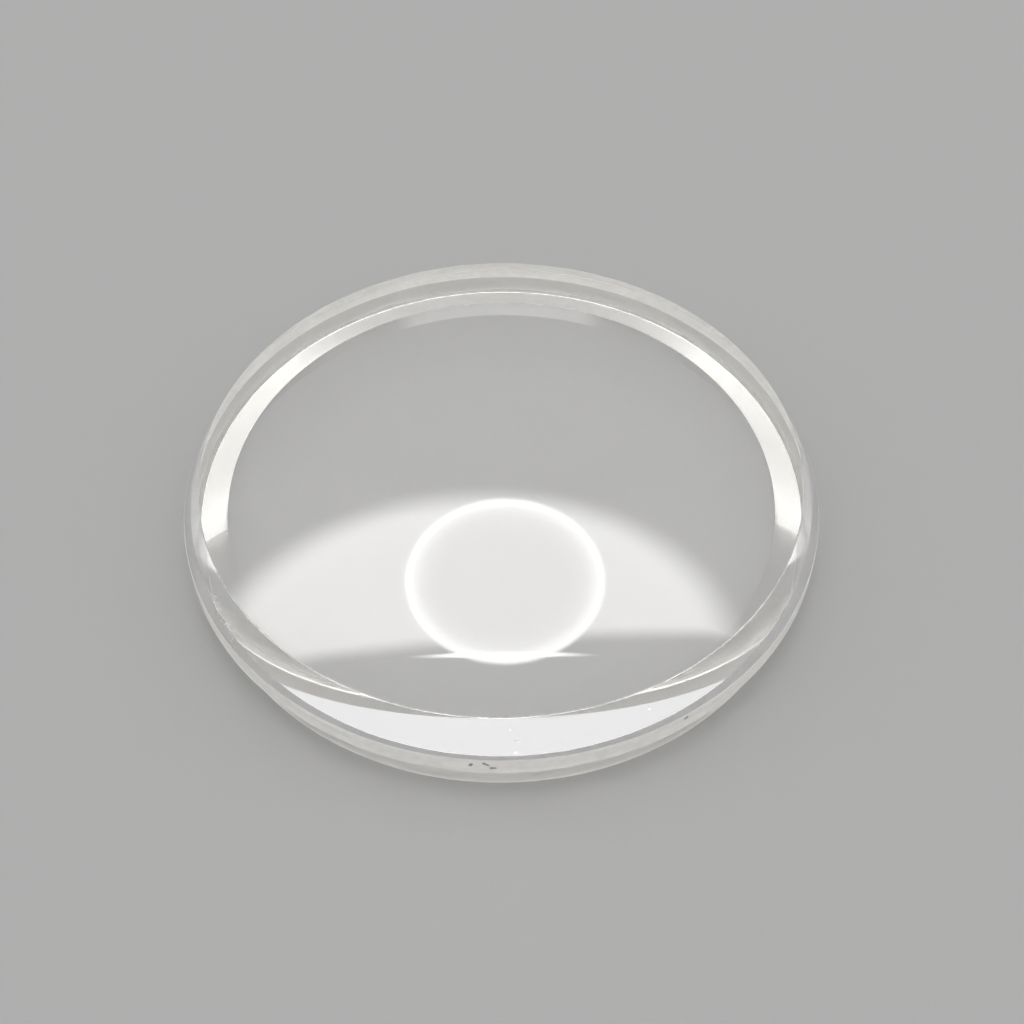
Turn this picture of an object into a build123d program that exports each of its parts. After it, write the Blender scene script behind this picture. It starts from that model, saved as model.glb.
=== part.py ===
from build123d import *
import os

# Watch crystal: one round glass, lying the way up that it has on the watch.
# Millimetres. Z is the optical axis and points outwards, away from the dial.
# The origin is the centre of the foot, the narrow flat ring at the very bottom.

# Driving dimensions
outer_diameter = 31.5      # across the ground side wall
wall_height = 0.95         # height of the ground side wall
bevel_width = 1.0          # how far the polished bevel leans in, measured along the radius
bevel_height = 2.0         # height of the polished bevel
dome_rise = 0.5            # height of the outer dome above its own edge
ledge_width = 0.65         # width of the flat ground ledge that rests on the rim of the case
boss_height = 1.9          # how far the ground boss reaches below the ledge, into the case
foot_width = 0.25          # width of the flat ground ring at the bottom of the boss
facet_width = 1.35         # how far the polished facet inside the foot leans in
facet_rise = 0.85          # height of that facet
hollow_rise = 0.15         # depth of the shallow polished hollow within the facet, at its centre
edge_break = 0.1           # small chamfer on each sharp outer corner

# Radii, from the outside in
wall_radius = outer_diameter / 2
dome_radius_at_edge = wall_radius - bevel_width
boss_radius = wall_radius - ledge_width
foot_inner_radius = boss_radius - foot_width
facet_inner_radius = foot_inner_radius - facet_width

# Heights above the foot, from the bottom up
ledge_level = boss_height
hollow_top = facet_rise + hollow_rise
wall_top = ledge_level + wall_height
bevel_top = wall_top + bevel_height
dome_top = bevel_top + dome_rise


def half_section():
    """Half of the glass's cross-section, from the axis outwards, drawn in the XZ plane."""
    hollow_head = (0, hollow_top)
    facet_inner_corner = (facet_inner_radius, facet_rise)
    foot_inner_corner = (foot_inner_radius, 0)
    foot_outer_corner = (boss_radius, 0)
    ledge_inner_corner = (boss_radius, ledge_level)
    ledge_outer_corner = (wall_radius, ledge_level)
    wall_top_corner = (wall_radius, wall_top)
    dome_corner = (dome_radius_at_edge, bevel_top)
    dome_head = (0, dome_top)
    outwards = (1, 0)
    outline = [
        TangentArc(hollow_head, facet_inner_corner, tangent=outwards),
        Polyline(
            facet_inner_corner,
            foot_inner_corner,
            foot_outer_corner,
            ledge_inner_corner,
            ledge_outer_corner,
            wall_top_corner,
            dome_corner,
        ),
        TangentArc(dome_head, dome_corner, tangent=outwards),
        Line(dome_head, hollow_head),
    ]
    sharp_corners = [foot_outer_corner, ledge_outer_corner, wall_top_corner, dome_corner]
    face = make_face(outline)
    broken = [min(face.vertices(), key=lambda v: v.distance_to(Vertex(*corner))) for corner in sharp_corners]
    return chamfer(broken, edge_break)


def crystal():
    """The finished glass: the half section turned once round the Z axis."""
    return revolve(Plane.XZ * half_section(), Axis.Z)


os.makedirs("parts", exist_ok=True)
export_step(crystal(), "parts/crystal.step")
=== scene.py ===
import collections
import math

import bpy
from mathutils import Euler, Matrix, Vector


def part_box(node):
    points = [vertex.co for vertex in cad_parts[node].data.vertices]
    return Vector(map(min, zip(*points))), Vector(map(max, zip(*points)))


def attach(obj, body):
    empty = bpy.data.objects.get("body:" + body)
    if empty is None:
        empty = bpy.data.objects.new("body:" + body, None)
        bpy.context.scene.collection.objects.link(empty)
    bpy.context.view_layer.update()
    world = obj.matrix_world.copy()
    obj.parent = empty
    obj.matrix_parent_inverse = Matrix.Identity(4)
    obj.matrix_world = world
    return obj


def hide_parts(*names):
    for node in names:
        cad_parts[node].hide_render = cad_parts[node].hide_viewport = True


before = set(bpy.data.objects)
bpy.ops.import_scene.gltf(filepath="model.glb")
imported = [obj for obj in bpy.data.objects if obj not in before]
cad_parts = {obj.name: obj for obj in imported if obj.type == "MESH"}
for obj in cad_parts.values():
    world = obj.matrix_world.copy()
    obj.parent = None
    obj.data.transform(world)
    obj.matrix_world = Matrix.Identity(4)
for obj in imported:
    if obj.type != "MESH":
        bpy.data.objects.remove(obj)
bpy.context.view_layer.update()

bl_info = {
    "name": "Watch Crystal",
    "version": (1, 0, 0),
    "blender": (4, 5, 0),
    "location": "3D View > Sidebar > Watch Crystal",
    "description": "A domed mineral watch glass with a polished bevel and a ground, stepped underside",
    "category": "Object",
}

NODE = "crystal"
BODY = "root"
PIECE = "crystal_glass"
MM = 0.001
SEED = 3

low_corner, high_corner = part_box(NODE)
CAD_DIAMETER = high_corner.x - low_corner.x


class Wire:
    """A node socket that plain arithmetic can be written with."""

    def __init__(self, tree, socket):
        self.tree = tree
        self.socket = socket

    def math(self, operation, *values):
        node = self.tree.nodes.new("ShaderNodeMath")
        node.operation = operation
        for place, value in zip(node.inputs, values):
            plug(self.tree, place, value)
        return Wire(self.tree, node.outputs[0])

    def __add__(self, other):
        return self.math("ADD", self, other)

    def __radd__(self, other):
        return self.math("ADD", other, self)

    def __sub__(self, other):
        return self.math("SUBTRACT", self, other)

    def __rsub__(self, other):
        return self.math("SUBTRACT", other, self)

    def __mul__(self, other):
        return self.math("MULTIPLY", self, other)

    def __rmul__(self, other):
        return self.math("MULTIPLY", other, self)

    def __truediv__(self, other):
        return self.math("DIVIDE", self, other)

    def __rtruediv__(self, other):
        return self.math("DIVIDE", other, self)

    def __pow__(self, other):
        return self.math("POWER", self, other)

    def __neg__(self):
        return self.math("MULTIPLY", self, -1.0)

    def root(self):
        return self.math("SQRT", self)

    def size(self):
        return self.math("ABSOLUTE", self)

    def above(self, edge):
        return self.math("GREATER_THAN", self, edge)

    def equals(self, value, tolerance=0.1):
        return self.math("COMPARE", self, float(value), tolerance)

    def at_least(self, value):
        return self.math("MAXIMUM", self, value)

    def at_most(self, value):
        return self.math("MINIMUM", self, value)


def plug(tree, place, value):
    """Sets a socket to a value, or links it where the value is another socket."""
    if isinstance(value, Wire):
        tree.links.new(value.socket, place)
    else:
        place.default_value = value


class Nodes:
    """A node tree in which every node but plain arithmetic comes from one method."""

    def __init__(self, tree):
        self.tree = tree
        tree.nodes.clear()

    def add(self, kind, settings=None, sockets=None, out=0):
        node = self.tree.nodes.new(kind)
        for name, value in (settings or {}).items():
            if name == "stops":
                self.set_stops(node.color_ramp, value)
            else:
                setattr(node, name, value)
        for name, value in (sockets or {}).items():
            place = node.inputs[name] if isinstance(name, int) else self.named(node, name)
            plug(self.tree, place, value)
        if not node.outputs:
            return node
        if isinstance(out, str):
            return Wire(self.tree, next(s for s in node.outputs if s.name == out and s.enabled))
        return Wire(self.tree, [s for s in node.outputs if s.enabled][out])

    def named(self, node, name):
        found = [s for s in node.inputs if s.name == name and s.enabled]
        if not found:
            raise KeyError(f"{node.bl_idname} has no socket {name}")
        return found[0]

    def set_stops(self, ramp, stops):
        while len(ramp.elements) < len(stops):
            ramp.elements.new(0.5)
        for element, (place, colour) in zip(ramp.elements, stops):
            element.position = place
            element.color = colour

    def join(self, geometries):
        """Joins several geometries, all of which go into one socket."""
        node = self.tree.nodes.new("GeometryNodeJoinGeometry")
        for geometry in reversed(geometries):
            self.tree.links.new(geometry.socket, node.inputs[0])
        return Wire(self.tree, node.outputs[0])


def new_interface(tree, sizes, counts, materials):
    """Adds the tree's named inputs and gives back their identifiers."""
    places = {}
    tree.interface.new_socket("Geometry", in_out="OUTPUT", socket_type="NodeSocketGeometry")
    for name in sizes:
        socket = tree.interface.new_socket(name, in_out="INPUT", socket_type="NodeSocketFloat")
        socket.subtype = "DISTANCE"
        places[name] = socket.identifier
    for name in counts:
        socket = tree.interface.new_socket(name, in_out="INPUT", socket_type="NodeSocketInt")
        places[name] = socket.identifier
    for name in materials:
        socket = tree.interface.new_socket(name, in_out="INPUT", socket_type="NodeSocketMaterial")
        places[name] = socket.identifier
    return places


SIZE_INPUTS = (
    "Radius",
    "Wall height",
    "Bevel width",
    "Bevel height",
    "Dome rise",
    "Ledge width",
    "Boss height",
    "Foot width",
    "Facet width",
    "Facet rise",
    "Hollow rise",
    "Edge break",
    "Nick depth",
)
COUNT_INPUTS = ("Segments", "Rings", "Seed")
MATERIAL_INPUTS = ("Polished", "Ground", "Satin")
POLISHED, GROUND, SATIN = range(3)


# The edges of the dome and of the foot are crisper than the others, by this share of the edge break.
CRISP_SHARE = 0.3
MERGE_DISTANCE = 0.002 * MM
BEVEL_POINTS = 8
WALL_POINTS = 8
LEDGE_POINTS = 3
BOSS_POINTS = 8
FACET_POINTS = 6
ROUNDING_POINTS = 4

# Nicks come where the noise passes the threshold, and they fade out over these shares of the edge break.
NICK_PATCHES = 1500.0
NICK_THRESHOLD = (0.66, 0.74)
NICK_FADE_SHARES = (0.2, 1.2)


def nicked(nodes, body, given, wall_top):
    """Tiny dents along the two edges of the side wall, where a few spots of noise pass a threshold."""
    parts = nodes.add("ShaderNodeSeparateXYZ", sockets={"Vector": nodes.add("GeometryNodeInputPosition")})
    x, y, z = (Wire(nodes.tree, s) for s in parts.socket.node.outputs)
    edge = given["Edge break"]
    spots = nodes.add(
        "ShaderNodeTexNoise",
        {"noise_dimensions": "4D"},
        {"W": given["Seed"], "Scale": NICK_PATCHES, "Detail": 1.0},
        out="Fac",
    )
    near, far = (share * edge for share in NICK_FADE_SHARES)
    near_top = 1.0 - smooth_step(nodes, (z - wall_top).size(), near, far)
    near_low = 1.0 - smooth_step(nodes, (z - given["Boss height"]).size(), near, far)
    outer = (x * x + y * y).root().above(given["Radius"] - far)
    depth = smooth_step(nodes, spots, *NICK_THRESHOLD) * near_top.at_least(near_low) * outer
    to_axis = nodes.add("ShaderNodeCombineXYZ", sockets={"X": -x, "Y": -y})
    inwards = nodes.add("ShaderNodeVectorMath", {"operation": "NORMALIZE"}, {0: to_axis})
    offset = nodes.add(
        "ShaderNodeVectorMath", {"operation": "SCALE"}, {0: inwards, "Scale": depth * given["Nick depth"]}
    )
    return nodes.add("GeometryNodeSetPosition", sockets={"Geometry": body, "Offset": offset})


def lathe_tree():
    """The half section turned once round the axis, as a node tree with the sizes as inputs."""
    tree = bpy.data.node_groups.new("crystal_lathe", "GeometryNodeTree")
    places = new_interface(tree, SIZE_INPUTS, COUNT_INPUTS, MATERIAL_INPUTS)
    nodes = Nodes(tree)
    group = tree.nodes.new("NodeGroupInput")
    given = {s.name: Wire(tree, s) for s in group.outputs if s.name}

    radius = given["Radius"]
    edge = given["Edge break"]
    ledge_level = given["Boss height"]
    wall_top = ledge_level + given["Wall height"]
    bevel_top = wall_top + given["Bevel height"]
    dome_radius = radius - given["Bevel width"]
    boss_radius = radius - given["Ledge width"]
    foot_inner = boss_radius - given["Foot width"]
    facet_inner = foot_inner - given["Facet width"]

    def point(r, z):
        """A point of the half section, in the profile plane of the sweep."""
        return nodes.add("ShaderNodeCombineXYZ", sockets={"X": r - radius, "Y": -1.0 * z})

    def vector(operation, **values):
        return nodes.add(
            "ShaderNodeVectorMath", {"operation": operation}, {int(k[1]): v for k, v in values.items()}
        )

    def scaled(value, factor):
        return nodes.add("ShaderNodeVectorMath", {"operation": "SCALE"}, {0: value, "Scale": factor})

    def towards(start, end, length):
        """The point a length away from the start, on the way to the end."""
        way = vector("NORMALIZE", v0=vector("SUBTRACT", v0=end, v1=start))
        return vector("ADD", v0=start, v1=scaled(way, length))

    def cap(reach, rise, foot):
        """Height on a shallow spherical cap with this rise over this reach, at radius r."""
        ball = (reach * reach + rise * rise) / (2.0 * rise)
        centre = foot + rise - ball
        return lambda r: centre + (ball * ball - r * r).root()

    dome = cap(dome_radius, given["Dome rise"], bevel_top)
    hollow = cap(facet_inner, given["Hollow rise"], given["Facet rise"])

    crisp_edge = CRISP_SHARE * edge
    dome_end_r = dome_radius - crisp_edge
    dome_head = point(0.0, dome(0.0 * radius))
    dome_middle = point(dome_end_r * 0.5, dome(dome_end_r * 0.5))
    dome_end = point(dome_end_r, dome(dome_end_r))
    hollow_head = point(0.0, hollow(0.0 * radius))
    hollow_middle = point(facet_inner * 0.5, hollow(facet_inner * 0.5))
    facet_corner = point(facet_inner, given["Facet rise"])
    foot_corner = point(foot_inner, 0.0)
    boss_corner = point(boss_radius, 0.0)
    ledge_inner_corner = point(boss_radius, ledge_level)
    ledge_outer_corner = point(radius, ledge_level)
    wall_corner = point(radius, wall_top)
    dome_corner = point(dome_radius, bevel_top)

    def line(start, end):
        return nodes.add("GeometryNodeCurvePrimitiveLine", {"mode": "POINTS"}, {"Start": start, "End": end})

    def arc(start, middle, end, rings):
        return nodes.add(
            "GeometryNodeCurveArc",
            {"mode": "POINTS"},
            {"Start": start, "Middle": middle, "End": end, "Resolution": rings},
            out="Curve",
        )

    def rounding(start, corner, end):
        return nodes.add(
            "GeometryNodeCurveQuadraticBezier",
            sockets={"Start": start, "Middle": corner, "End": end, "Resolution": ROUNDING_POINTS},
        )

    def divided(curve, count):
        return nodes.add("GeometryNodeResampleCurve", {"mode": "COUNT"}, {"Curve": curve, "Count": count})

    rail = nodes.add(
        "GeometryNodeCurvePrimitiveCircle",
        {"mode": "RADIUS"},
        {"Resolution": given["Segments"], "Radius": radius},
    )

    def turned(curve, finish, turn):
        """The strip that one run of the half section makes, marked with its finish and its turn."""
        strip = nodes.add("GeometryNodeCurveToMesh", sockets={"Curve": rail, "Profile Curve": curve})
        for name, value in (("finish", float(finish)), ("turn", float(turn % 2))):
            strip = nodes.add(
                "GeometryNodeStoreNamedAttribute",
                {"data_type": "FLOAT", "domain": "FACE"},
                {"Geometry": strip, "Name": name, "Value": value},
            )
        return strip

    def broken(before, corner, after, reach):
        """The rounding of a sharp corner, with the two points where it starts and ends."""
        start, end = towards(corner, before, reach), towards(corner, after, reach)
        return start, rounding(start, corner, end), end

    bevel_start = towards(dome_corner, wall_corner, crisp_edge)
    dome_edge = rounding(dome_end, dome_corner, bevel_start)
    bevel_end, wall_edge, wall_start = broken(dome_corner, wall_corner, ledge_outer_corner, edge)
    wall_end, ledge_edge, ledge_start = broken(wall_corner, ledge_outer_corner, ledge_inner_corner, edge)
    boss_end, foot_edge, foot_start = broken(ledge_inner_corner, boss_corner, foot_corner, crisp_edge)
    runs = (
        (arc(dome_head, dome_middle, dome_end, given["Rings"]), POLISHED),
        (dome_edge, POLISHED),
        (divided(line(bevel_start, bevel_end), BEVEL_POINTS), POLISHED),
        (wall_edge, GROUND),
        (divided(line(wall_start, wall_end), WALL_POINTS), GROUND),
        (ledge_edge, GROUND),
        (divided(line(ledge_start, ledge_inner_corner), LEDGE_POINTS), GROUND),
        (divided(line(ledge_inner_corner, boss_end), BOSS_POINTS), SATIN),
        (foot_edge, SATIN),
        (line(foot_start, foot_corner), SATIN),
        (divided(line(foot_corner, facet_corner), FACET_POINTS), POLISHED),
        (arc(facet_corner, hollow_middle, hollow_head, given["Rings"]), POLISHED),
    )
    strips = [turned(curve, finish, turn) for turn, (curve, finish) in enumerate(runs)]
    body = nodes.add(
        "GeometryNodeMergeByDistance",
        sockets={"Geometry": nodes.join(strips), "Distance": MERGE_DISTANCE},
    )
    body = nicked(nodes, body, given, wall_top)
    finish, turn = (
        nodes.add(
            "GeometryNodeInputNamedAttribute", {"data_type": "FLOAT"}, {"Name": name}, out="Attribute"
        )
        for name in ("finish", "turn")
    )
    smooth = nodes.add(
        "GeometryNodeSetShadeSmooth", {"domain": "FACE"}, {"Geometry": body, "Shade Smooth": True}
    )
    # An edge between two strips has the mean of their turns, one half, so each strip keeps its own normals.
    smooth = nodes.add(
        "GeometryNodeSetShadeSmooth",
        {"domain": "EDGE"},
        {"Geometry": smooth, "Selection": turn.equals(0.5), "Shade Smooth": False},
    )
    finished = nodes.add("GeometryNodeRealizeInstances", sockets={"Geometry": smooth})
    finished = nodes.add(
        "GeometryNodeSetMaterial", sockets={"Geometry": finished, "Material": given["Polished"]}
    )
    for value, name in ((GROUND, "Ground"), (SATIN, "Satin")):
        finished = nodes.add(
            "GeometryNodeSetMaterial",
            sockets={"Geometry": finished, "Selection": finish.equals(value), "Material": given[name]},
        )
    end = tree.nodes.new("NodeGroupOutput")
    tree.links.new(finished.socket, end.inputs[0])
    return tree, places


def object_position(nodes):
    """The place on the piece, in metres from its origin."""
    return nodes.add("ShaderNodeTexCoord", out="Object")


# A mark is a turn from the front in degrees, a height and a length in millimetres, and a lean in degrees
# from the level. It is full as far from its line as its core reaches and has gone where its edge is, and
# its sides are ragged.
Marks = collections.namedtuple("Marks", "radius raggedness patches core edge places")
BEVEL_SCRATCHES = Marks(
    radius=15.35 * MM,
    raggedness=0.035 * MM,
    patches=9000.0,
    core=0.008 * MM,
    edge=0.025 * MM,
    places=(
        (-61.6, 3.84, 0.34, 12.0),
        (-60.7, 3.76, 0.26, 80.0),
        (-58.6, 3.62, 0.30, 84.0),
        (-57.1, 3.46, 0.07, 40.0),
        (-55.9, 3.50, 0.20, 55.0),
        (-53.0, 3.30, 0.34, 76.0),
        (-51.6, 3.14, 0.12, 60.0),
        (2.1, 3.80, 0.20, 4.0),
    ),
)
# Chips on the wall: real dents in the bump, and painted shade in their colour.
WALL_CHIPS = Marks(
    radius=CAD_DIAMETER / 2,
    raggedness=0.12 * MM,
    patches=8000.0,
    core=0.05 * MM,
    edge=0.09 * MM,
    places=(
        (-2.9, 2.66, 0.22, -38.0),
        (-1.8, 2.36, 0.16, 8.0),
        (-5.3, 2.58, 0.12, 60.0),
        (31.0, 2.72, 0.10, 10.0),
    ),
)


def smooth_step(nodes, value, low, high):
    """0 below the low value, 1 above the high one, and an even curve between them."""
    return nodes.add(
        "ShaderNodeMapRange",
        {"interpolation_type": "SMOOTHSTEP"},
        {"Value": value, "From Min": low, "From Max": high},
    )


def noise(nodes, place, scale, detail=2.0, distortion=0.0):
    """Smooth random values from 0 to 1."""
    return nodes.add(
        "ShaderNodeTexNoise",
        sockets={"Vector": place, "Scale": scale, "Detail": detail, "Distortion": distortion},
        out="Fac",
    )


def turn_and_height(nodes):
    """Angle from the front of the glass, in radians, and height above the foot."""
    parts = nodes.add("ShaderNodeSeparateXYZ", sockets={"Vector": object_position(nodes)})
    x, y, z = (Wire(nodes.tree, s) for s in parts.socket.node.outputs)
    return x.math("ARCTAN2", x, -y), z


def marked(nodes, marks):
    """1 on some short straight marks, and 0 away from them."""
    turn, height = turn_and_height(nodes)
    nearest = None
    for mark_turn, mark_height, length, lean in marks.places:
        along = (turn - math.radians(mark_turn)) * marks.radius
        up = height - mark_height * MM
        cos, sin = math.cos(math.radians(lean)), math.sin(math.radians(lean))
        beyond = ((along * cos + up * sin).size() - length * MM / 2).at_least(0.0)
        aside = up * cos - along * sin
        distance = (beyond * beyond + aside * aside).root()
        nearest = distance if nearest is None else nearest.at_most(distance)
    wander = noise(nodes, object_position(nodes), marks.patches)
    ragged = nearest + marks.raggedness * (wander - 0.5)
    return 1.0 - smooth_step(nodes, ragged, marks.core, marks.edge)


CLEAR_ROUGHNESS = 0.004
SMEAR_ROUGHNESS = 0.16
SMEAR_THRESHOLD = 0.55
DUST_ROUGHNESS = 0.16
DUST_THRESHOLD = 0.58
SPECK_EDGE = (0.025, 0.05)
SCRATCH_ROUGHNESS = 0.6
SCRATCH_RELIEF = 0.6
MARK_DEPTH = 0.02 * MM


def polished_material(look):
    """Clear polished glass with faint smears, dust and a few scratches on the bevel."""
    material = bpy.data.materials.new("polished_glass")
    material.use_nodes = True
    nodes = Nodes(material.node_tree)
    place = object_position(nodes)
    smears = noise(nodes, place, scale=180.0, detail=5.0, distortion=0.6)
    specks = nodes.add("ShaderNodeTexVoronoi", sockets={"Vector": place, "Scale": 620.0}, out="Distance")
    dusty = noise(nodes, place, scale=900.0).above(DUST_THRESHOLD)
    dust = (1.0 - smooth_step(nodes, specks, *SPECK_EDGE)) * dusty
    scratch = marked(nodes, BEVEL_SCRATCHES)
    bump = nodes.add(
        "ShaderNodeBump",
        {"invert": True},
        {"Strength": SCRATCH_RELIEF, "Distance": MARK_DEPTH, "Height": scratch},
    )
    smeared = CLEAR_ROUGHNESS + SMEAR_ROUGHNESS * (smears - SMEAR_THRESHOLD).at_least(0.0)
    dusted = smeared.at_least(DUST_ROUGHNESS * dust)
    glass = nodes.add(
        "ShaderNodeBsdfPrincipled",
        sockets={
            "Base Color": (1.0, 1.0, 1.0, 1.0),
            "Roughness": dusted.at_least(SCRATCH_ROUGHNESS * scratch),
            "IOR": look.index,
            "Transmission Weight": 1.0,
            "Normal": bump,
        },
    )
    nodes.add("ShaderNodeOutputMaterial", sockets={"Surface": glass})
    return material


def round_coordinates(nodes, round_scale, up_scale):
    """Coordinates that follow the turned shape: round the axis, outwards and along the axis."""
    parts = nodes.add("ShaderNodeSeparateXYZ", sockets={"Vector": object_position(nodes)})
    x, y, z = (Wire(nodes.tree, s) for s in parts.socket.node.outputs)
    angle = x.math("ARCTAN2", y, x)
    return nodes.add(
        "ShaderNodeCombineXYZ",
        sockets={"X": angle * round_scale, "Y": (x * x + y * y).root() * up_scale, "Z": z * up_scale},
    )


# Lines are counted per radian round the axis and per metre outwards or upwards.
Finish = collections.namedtuple("Finish", "name lines_round lines_across roughness relief contrast")
GROUND_FINISH = Finish(
    "ground_glass", lines_round=6.0, lines_across=9000.0, roughness=0.48, relief=0.35, contrast=0.14
)
SATIN_FINISH = Finish(
    "satin_glass", lines_round=6.0, lines_across=7000.0, roughness=0.25, relief=0.1, contrast=0.05
)
LINE_ROUGHNESS = 0.12
BRIGHTEST_SHARE = 1.04
CHIP_RELIEF = 4.0


def ground_glass(look, finish, clearness):
    """Ground glass: pale and matt, with grinding lines that run round the axis, and small chips whose
    hollows are painted dark as shade.
    """
    material = bpy.data.materials.new(finish.name)
    material.use_nodes = True
    nodes = Nodes(material.node_tree)
    turned_place = round_coordinates(nodes, finish.lines_round, finish.lines_across)
    lines = noise(nodes, turned_place, scale=1.0, detail=4.0)
    grain = noise(nodes, object_position(nodes), scale=2400.0, detail=3.0)
    chip = marked(nodes, WALL_CHIPS)
    bump = nodes.add(
        "ShaderNodeBump",
        sockets={
            "Strength": finish.relief,
            "Distance": MARK_DEPTH,
            "Height": 0.6 * grain + 0.4 * lines - CHIP_RELIEF * chip,
        },
    )
    dull, bright = (
        (*(share * channel for channel in look.ground_colour), 1.0)
        for share in (1.0 - finish.contrast, BRIGHTEST_SHARE)
    )
    frosted = nodes.add(
        "ShaderNodeValToRGB",
        {"stops": ((0.3, dull), (0.7, bright))},
        {"Fac": 0.5 * grain + 0.5 * lines},
        out="Color",
    )
    # Inside the chips the colour turns near black: painted shade in the chips' hollows, laid over their real
    # dents from the bump.
    colour = nodes.add(
        "ShaderNodeMix",
        {"data_type": "RGBA"},
        {"Factor": chip, "A": frosted, "B": (*look.chip_shade_colour, 1.0)},
        out="Result",
    )
    glass = nodes.add(
        "ShaderNodeBsdfPrincipled",
        sockets={
            "Base Color": colour,
            "Roughness": finish.roughness + LINE_ROUGHNESS * lines,
            "IOR": look.index,
            "Transmission Weight": clearness,
            "Normal": bump,
        },
    )
    nodes.add("ShaderNodeOutputMaterial", sockets={"Surface": glass})
    return material


def to_plain_mesh(obj):
    """Turns what the modifiers make into the object's own mesh."""
    graph = bpy.context.evaluated_depsgraph_get()
    mesh = bpy.data.meshes.new_from_object(
        obj.evaluated_get(graph), preserve_all_data_layers=True, depsgraph=graph
    )
    obj.modifiers.clear()
    obj.data = mesh
    mesh.name = obj.name
    for place in reversed(range(len(mesh.materials))):
        if mesh.materials[place] is None:
            mesh.materials.pop(index=place)


class CrystalSizes(bpy.types.PropertyGroup):
    """Sizes of the glass."""

    diameter: bpy.props.FloatProperty(
        name="Diameter",
        description="Across the ground side wall",
        default=CAD_DIAMETER,
        unit="LENGTH",
        precision=5,
    )
    wall_height: bpy.props.FloatProperty(
        name="Wall height", description="Height of the ground side wall", default=0.95 * MM, unit="LENGTH"
    )
    bevel_width: bpy.props.FloatProperty(
        name="Bevel width",
        description="How far the polished bevel leans in",
        default=1.0 * MM,
        unit="LENGTH",
    )
    bevel_height: bpy.props.FloatProperty(
        name="Bevel height", description="Height of the polished bevel", default=2.0 * MM, unit="LENGTH"
    )
    dome_rise: bpy.props.FloatProperty(
        name="Dome rise",
        description="Height of the outer dome above its edge",
        default=0.5 * MM,
        unit="LENGTH",
    )
    ledge_width: bpy.props.FloatProperty(
        name="Ledge width",
        description="Width of the flat ground ledge that rests on the case",
        default=0.65 * MM,
        unit="LENGTH",
    )
    boss_height: bpy.props.FloatProperty(
        name="Boss height",
        description="How far the ground boss reaches below the ledge",
        default=1.9 * MM,
        unit="LENGTH",
    )
    foot_width: bpy.props.FloatProperty(
        name="Foot width",
        description="Width of the flat ground ring at the bottom of the boss",
        default=0.25 * MM,
        unit="LENGTH",
    )
    facet_width: bpy.props.FloatProperty(
        name="Facet width",
        description="How far the polished facet inside the foot leans in",
        default=1.35 * MM,
        unit="LENGTH",
    )
    facet_rise: bpy.props.FloatProperty(
        name="Facet rise", description="Height of that facet", default=0.85 * MM, unit="LENGTH"
    )
    hollow_rise: bpy.props.FloatProperty(
        name="Hollow rise",
        description="Depth of the shallow polished hollow within the facet",
        default=0.15 * MM,
        unit="LENGTH",
    )
    edge_break: bpy.props.FloatProperty(
        name="Edge break", description="Size of the rounding on each edge", default=0.1 * MM, unit="LENGTH"
    )
    nick_depth: bpy.props.FloatProperty(
        name="Nick depth",
        description="Depth of the tiny dents in the wall's edges",
        default=0.05 * MM,
        unit="LENGTH",
    )
    segments: bpy.props.IntProperty(name="Segments", description="Divisions round the axis", default=720)
    rings: bpy.props.IntProperty(name="Rings", description="Divisions across each curved face", default=36)


class CrystalLook(bpy.types.PropertyGroup):
    """Colours and finishes of the glass."""

    index: bpy.props.FloatProperty(
        name="Refractive index", description="Of the mineral glass", default=1.52, min=1.0
    )
    ground_colour: bpy.props.FloatVectorProperty(
        name="Ground colour",
        description="Colour of the ground faces",
        default=(0.95, 0.94, 0.91),
        subtype="COLOR",
        size=3,
    )
    # Painted shade: the dark colour given to the chips' hollows, standing in for the shade in them.
    chip_shade_colour: bpy.props.FloatVectorProperty(
        name="Chip colour",
        description="Colour inside the small chips",
        default=(0.2, 0.19, 0.18),
        subtype="COLOR",
        size=3,
    )
    ground_clearness: bpy.props.FloatProperty(
        name="Ground clearness",
        description="Share of light that the ground faces let through",
        default=0.35,
        subtype="FACTOR",
    )
    satin_clearness: bpy.props.FloatProperty(
        name="Satin clearness",
        description="Share of light that the finely ground boss and foot let through",
        default=0.5,
        subtype="FACTOR",
    )


class CrystalStage(bpy.types.PropertyGroup):
    """Floor, sky and camera."""

    floor_colour: bpy.props.FloatVectorProperty(
        name="Floor colour",
        description="Plain pale floor",
        default=(0.45, 0.45, 0.45),
        subtype="COLOR",
        size=3,
    )
    sky_top: bpy.props.FloatProperty(name="Sky top", description="Brightness overhead", default=0.86)
    sky_side: bpy.props.FloatProperty(name="Sky side", description="Brightness half way up", default=0.8)
    sky_rim: bpy.props.FloatProperty(name="Sky rim", description="Brightness at the horizon", default=0.4)
    elevation: bpy.props.FloatProperty(
        name="Camera elevation",
        description="Angle above the horizon",
        default=math.radians(49.44),
        subtype="ANGLE",
    )
    distance: bpy.props.FloatProperty(
        name="Camera distance", description="From the side wall's centre", default=0.07875, unit="LENGTH"
    )
    lens: bpy.props.FloatProperty(name="Lens", description="Focal length in millimetres", default=54.88)


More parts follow.
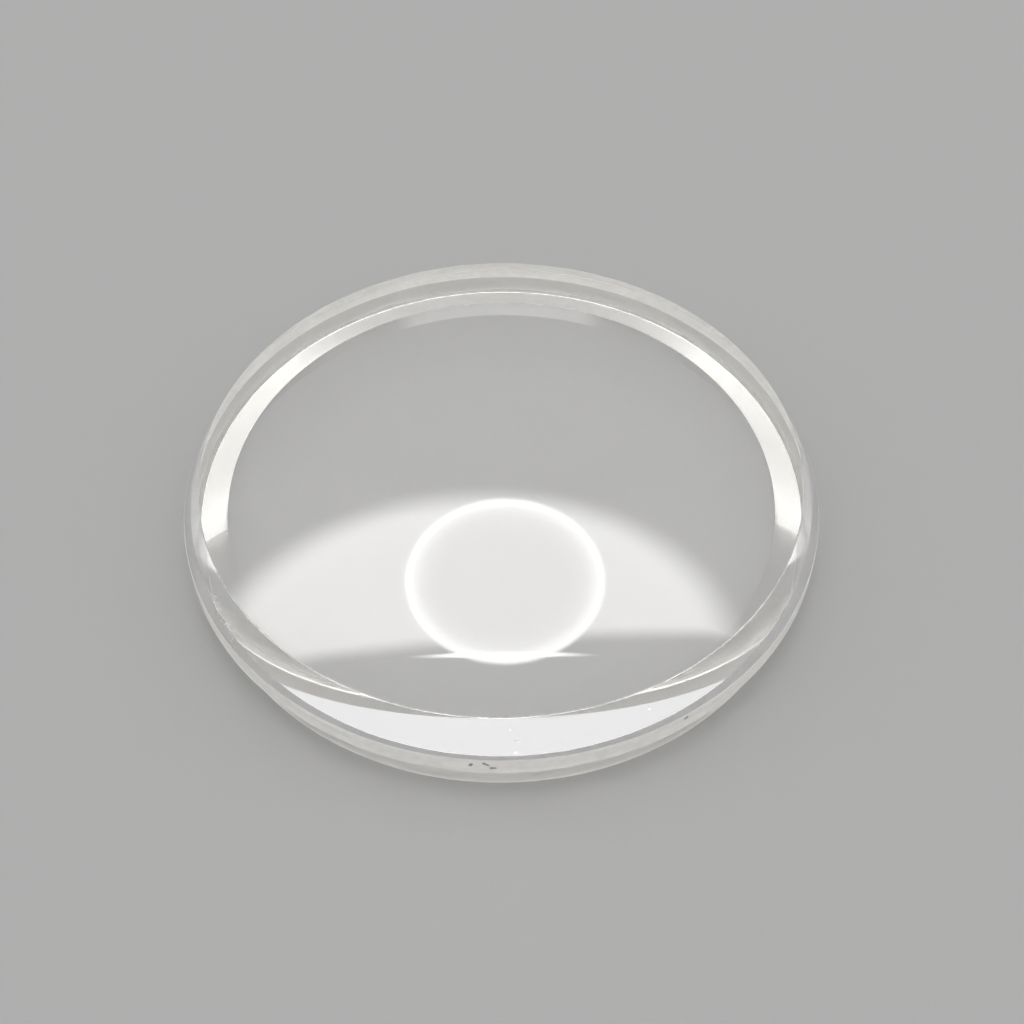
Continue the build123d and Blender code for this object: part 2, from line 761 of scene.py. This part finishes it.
class CRYSTAL_OT_glass(bpy.types.Operator):
    """Make the watch glass"""

    bl_idname = "crystal.glass"
    bl_label = "Watch glass"

    def execute(self, context):
        sizes = context.scene.crystal_sizes
        look = context.scene.crystal_look
        tree, places = lathe_tree()
        piece = bpy.data.objects.new(PIECE, bpy.data.meshes.new(PIECE))
        context.scene.collection.objects.link(piece)
        lathe = piece.modifiers.new("lathe", "NODES")
        lathe.node_group = tree
        values = {
            "Radius": sizes.diameter / 2,
            "Wall height": sizes.wall_height,
            "Bevel width": sizes.bevel_width,
            "Bevel height": sizes.bevel_height,
            "Dome rise": sizes.dome_rise,
            "Ledge width": sizes.ledge_width,
            "Boss height": sizes.boss_height,
            "Foot width": sizes.foot_width,
            "Facet width": sizes.facet_width,
            "Facet rise": sizes.facet_rise,
            "Hollow rise": sizes.hollow_rise,
            "Edge break": sizes.edge_break,
            "Nick depth": sizes.nick_depth,
            "Segments": sizes.segments,
            "Rings": sizes.rings,
            "Seed": SEED,
            "Polished": polished_material(look),
            "Ground": ground_glass(look, GROUND_FINISH, look.ground_clearness),
            "Satin": ground_glass(look, SATIN_FINISH, look.satin_clearness),
        }
        for name, value in values.items():
            lathe[places[name]] = value
        to_plain_mesh(piece)
        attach(piece, BODY)
        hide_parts(NODE)
        return {"FINISHED"}


class CRYSTAL_OT_stage(bpy.types.Operator):
    """Make the floor, the lamps and the camera"""

    bl_idname = "crystal.stage"
    bl_label = "Stage"

    def execute(self, context):
        stage = context.scene.crystal_stage
        make_floor(context, stage)
        make_lamps(context)
        make_world(context, stage)
        make_camera(context, stage)
        context.scene.view_settings.view_transform = "Standard"
        set_light_paths(context.scene.cycles)
        return {"FINISHED"}


# Light in a polished edge is thrown to and fro many times before it leaves the glass.
LIGHT_BOUNCES = 32


def set_light_paths(cycles):
    """Lets light bounce often enough inside the glass."""
    cycles.max_bounces = LIGHT_BOUNCES
    cycles.glossy_bounces = LIGHT_BOUNCES
    cycles.transmission_bounces = LIGHT_BOUNCES


FLOOR_HALF_WIDTH = 1.0
FLOOR_GAP = 0.01 * MM


def make_floor(context, stage):
    """A plain square just under the foot."""
    mesh = bpy.data.meshes.new("floor")
    half = FLOOR_HALF_WIDTH
    corners = [(-half, -half), (half, -half), (half, half), (-half, half)]
    mesh.from_pydata([(x, y, -FLOOR_GAP) for x, y in corners], [], [(0, 1, 2, 3)])
    floor = bpy.data.objects.new("floor", mesh)
    context.scene.collection.objects.link(floor)
    material = bpy.data.materials.new("floor_board")
    material.use_nodes = True
    nodes = Nodes(material.node_tree)
    board = nodes.add(
        "ShaderNodeBsdfPrincipled",
        sockets={"Base Color": (*stage.floor_colour, 1.0), "Roughness": 0.8, "Specular IOR Level": 0.2},
    )
    nodes.add("ShaderNodeOutputMaterial", sockets={"Surface": board})
    mesh.materials.append(material)


LAMP_SEGMENTS = 96
LAMP_COLOUR = (1.0, 0.99, 0.97)

# Azimuth turns from the back of the glass to its right, and spread is half of what the glass sees of a
# lamp, sideways and upwards. Both are in degrees. Middle and rim are brightnesses. A lamp fades out over the
# soft share of its edge. A round lamp is cut off level at the given share of its upper half, and a panel has
# none. The last entry names the kinds of ray that meet the lamp.
Lamp = collections.namedtuple(
    "Lamp", "name azimuth elevation distance spread middle rim softness upper_end seen_by"
)
RIM_SHARPNESS = 10.0
CUT_SOFTNESS = 0.12
LAMPS = (
    Lamp("lamp_veil", -4.0, 61.0, 1.5, (16.5, 11.5), 8.5, 10.5, 0.2, 0.0, ("glossy",)),
    Lamp("lamp_ring", 0.3, 56.3, 1.4, (6.0, 5.8), 8.0, 22.0, 0.08, 1.0, ("glossy",)),
    Lamp("lamp_strip", 0.0, 61.3, 1.4, (6.0, 0.25), 16.0, 16.0, 0.6, 1.0, ("glossy",)),
    Lamp("lamp_top", 0.0, 90.0, 1.0, (14.0, 14.0), 3.8, 3.8, 0.2, 1.0, ("diffuse", "transmission")),
    Lamp("lamp_back", 0.0, 17.0, 0.5, (22.0, 9.0), 15.0, 15.0, 0.0, None, ("transmission",)),
    Lamp("lamp_left", -36.0, 20.5, 0.5, (13.0, 12.0), 1.2, 1.2, 0.0, None, ("transmission",)),
    Lamp("lamp_right", 36.0, 20.5, 0.5, (13.0, 12.0), 1.2, 1.2, 0.0, None, ("transmission",)),
    Lamp("lamp_far_left", -76.0, 20.5, 0.5, (24.0, 12.0), 3.5, 3.5, 0.0, None, ("transmission",)),
    Lamp("lamp_far_right", 76.0, 20.5, 0.5, (24.0, 12.0), 3.5, 3.5, 0.0, None, ("transmission",)),
    Lamp("lamp_front", 180.0, 30.0, 0.5, (45.0, 18.0), 2.5, 2.5, 0.0, None, ("transmission",)),
)
# The place on the dome where the lamps show, from which their directions are measured
LAMP_CENTRE = Vector((0.0, -7.6 * MM, 5.2 * MM))


def lamp_outline(lamp, half_width, half_height):
    """The corners of a panel, or of a disc that is cut off level at its upper end."""
    if lamp.upper_end is None:
        return [
            (-half_width, -half_height, 0.0),
            (half_width, -half_height, 0.0),
            (half_width, half_height, 0.0),
            (-half_width, half_height, 0.0),
        ]
    turns = [2 * math.pi * k / LAMP_SEGMENTS for k in range(LAMP_SEGMENTS)]
    top = half_height * lamp.upper_end
    return [(half_width * math.cos(a), min(half_height * math.sin(a), top), 0.0) for a in turns]


def lamp_material(lamp, half_width, half_height):
    """A glow that goes from its middle to its rim and fades out over the soft share of its edge."""
    material = bpy.data.materials.new(lamp.name)
    material.use_nodes = True
    nodes = Nodes(material.node_tree)
    across = nodes.add(
        "ShaderNodeVectorMath",
        {"operation": "DIVIDE"},
        {0: object_position(nodes), 1: (half_width, half_height, 1.0)},
    )
    share = nodes.add("ShaderNodeVectorMath", {"operation": "LENGTH"}, {0: across}, out="Value")
    facing = nodes.add("ShaderNodeNewGeometry", out="Backfacing")
    rimmed = share.at_most(1.0) ** RIM_SHARPNESS
    strength = (lamp.middle + (lamp.rim - lamp.middle) * rimmed) * (1.0 - facing)
    colour = nodes.add("ShaderNodeVectorMath", {"operation": "SCALE"}, {0: LAMP_COLOUR, "Scale": strength})
    glow = nodes.add("ShaderNodeEmission", sockets={"Color": colour, "Strength": 1.0})
    if lamp.softness > 0.0:
        fade = smooth_step(nodes, share, 1.0 - lamp.softness, 1.0)
        if lamp.upper_end < 1.0:
            height = nodes.add("ShaderNodeSeparateXYZ", sockets={"Vector": across}, out="Y")
            cut = smooth_step(nodes, height, lamp.upper_end - CUT_SOFTNESS, lamp.upper_end)
            fade = fade.at_least(cut)
        clear = nodes.add("ShaderNodeBsdfTransparent")
        glow = nodes.add("ShaderNodeMixShader", sockets={0: fade, 1: glow, 2: clear})
    nodes.add("ShaderNodeOutputMaterial", sockets={"Surface": glow})
    return material


def make_lamps(context):
    """Soft lamps that face the glass. The camera doesn't see them, only the glass and the floor do."""
    for lamp in LAMPS:
        half_width, half_height = (lamp.distance * math.tan(math.radians(v)) for v in lamp.spread)
        outline = lamp_outline(lamp, half_width, half_height)
        mesh = bpy.data.meshes.new(lamp.name)
        mesh.from_pydata(outline, [], [tuple(range(len(outline)))])
        mesh.materials.append(lamp_material(lamp, half_width, half_height))
        piece = bpy.data.objects.new(lamp.name, mesh)
        context.scene.collection.objects.link(piece)
        turn, rise = math.radians(lamp.azimuth), math.radians(lamp.elevation)
        away = Vector((math.sin(turn) * math.cos(rise), math.cos(turn) * math.cos(rise), math.sin(rise)))
        facing = (-away).to_track_quat("Z", "Y").to_matrix().to_4x4()
        piece.matrix_world = Matrix.Translation(LAMP_CENTRE + away * lamp.distance) @ facing
        piece.visible_camera = False
        piece.visible_diffuse = "diffuse" in lamp.seen_by
        piece.visible_glossy = "glossy" in lamp.seen_by
        piece.visible_transmission = "transmission" in lamp.seen_by


# Heights are the sine of the elevation. Between the first two the sky goes from its rim's brightness to its
# side's, and between the other two to its top's.
RIM_TO_SIDE = (0.14, 0.17)
SIDE_TO_TOP = (0.62, 0.70)


def make_world(context, stage):
    """An even sky in three levels, paler upwards."""
    world = bpy.data.worlds.new("studio")
    context.scene.world = world
    world.use_nodes = True
    nodes = Nodes(world.node_tree)
    way = nodes.add("ShaderNodeTexCoord", out="Generated")
    height = nodes.add("ShaderNodeSeparateXYZ", sockets={"Vector": way}, out="Z")
    light = stage.sky_rim
    for heights, step in (
        (RIM_TO_SIDE, stage.sky_side - stage.sky_rim),
        (SIDE_TO_TOP, stage.sky_top - stage.sky_side),
    ):
        light = light + step * smooth_step(nodes, height, *heights)
    colour = nodes.add("ShaderNodeCombineColor", sockets={"Red": light, "Green": light, "Blue": light})
    sky = nodes.add("ShaderNodeBackground", sockets={"Color": colour, "Strength": 1.0})
    nodes.add("ShaderNodeOutputWorld", sockets={"Surface": sky})


# The camera's tilt about its own axis, and its small shift off the glass's centre
CAMERA_ROLL = math.radians(-0.63)
CAMERA_SHIFT = (0.01055, -0.01064)
CAMERA_CLIP = (0.001, 10.0)
SENSOR_WIDTH = 36.0


def make_camera(context, stage):
    """The camera, in front of the glass and above it."""
    data = bpy.data.cameras.new("camera")
    camera = bpy.data.objects.new("camera", data)
    context.scene.collection.objects.link(camera)
    sizes = context.scene.crystal_sizes
    aim = Vector((0.0, 0.0, sizes.boss_height))
    away = Vector((0.0, -math.cos(stage.elevation), math.sin(stage.elevation)))
    turn = Euler((math.radians(90) - stage.elevation, 0.0, 0.0)).to_matrix().to_4x4()
    turn = turn @ Matrix.Rotation(CAMERA_ROLL, 4, "Z")
    turn.translation = aim + away * stage.distance
    camera.matrix_world = turn
    data.sensor_width = SENSOR_WIDTH
    data.lens = stage.lens
    data.shift_x, data.shift_y = CAMERA_SHIFT
    data.clip_start, data.clip_end = CAMERA_CLIP
    context.scene.camera = camera


class CRYSTAL_PT_sidebar(bpy.types.Panel):
    """Sizes, looks and the two steps that make the glass and its stage"""

    bl_label = "Watch Crystal"
    bl_idname = "CRYSTAL_PT_sidebar"
    bl_space_type = "VIEW_3D"
    bl_region_type = "UI"
    bl_category = "Watch Crystal"

    def draw(self, context):
        for group in (context.scene.crystal_sizes, context.scene.crystal_look, context.scene.crystal_stage):
            box = self.layout.box()
            for name in group.bl_rna.properties.keys():
                if name not in ("rna_type", "name"):
                    box.prop(group, name)
        self.layout.operator(CRYSTAL_OT_glass.bl_idname)
        self.layout.operator(CRYSTAL_OT_stage.bl_idname)


CLASSES = (
    CrystalSizes,
    CrystalLook,
    CrystalStage,
    CRYSTAL_OT_glass,
    CRYSTAL_OT_stage,
    CRYSTAL_PT_sidebar,
)


def register():
    for each in CLASSES:
        bpy.utils.register_class(each)
    bpy.types.Scene.crystal_sizes = bpy.props.PointerProperty(type=CrystalSizes)
    bpy.types.Scene.crystal_look = bpy.props.PointerProperty(type=CrystalLook)
    bpy.types.Scene.crystal_stage = bpy.props.PointerProperty(type=CrystalStage)


def unregister():
    del bpy.types.Scene.crystal_sizes
    del bpy.types.Scene.crystal_look
    del bpy.types.Scene.crystal_stage
    for each in reversed(CLASSES):
        bpy.utils.unregister_class(each)


def main():
    register()
    bpy.ops.crystal.glass()
    bpy.ops.crystal.stage()


if __name__ == "__main__":
    main()
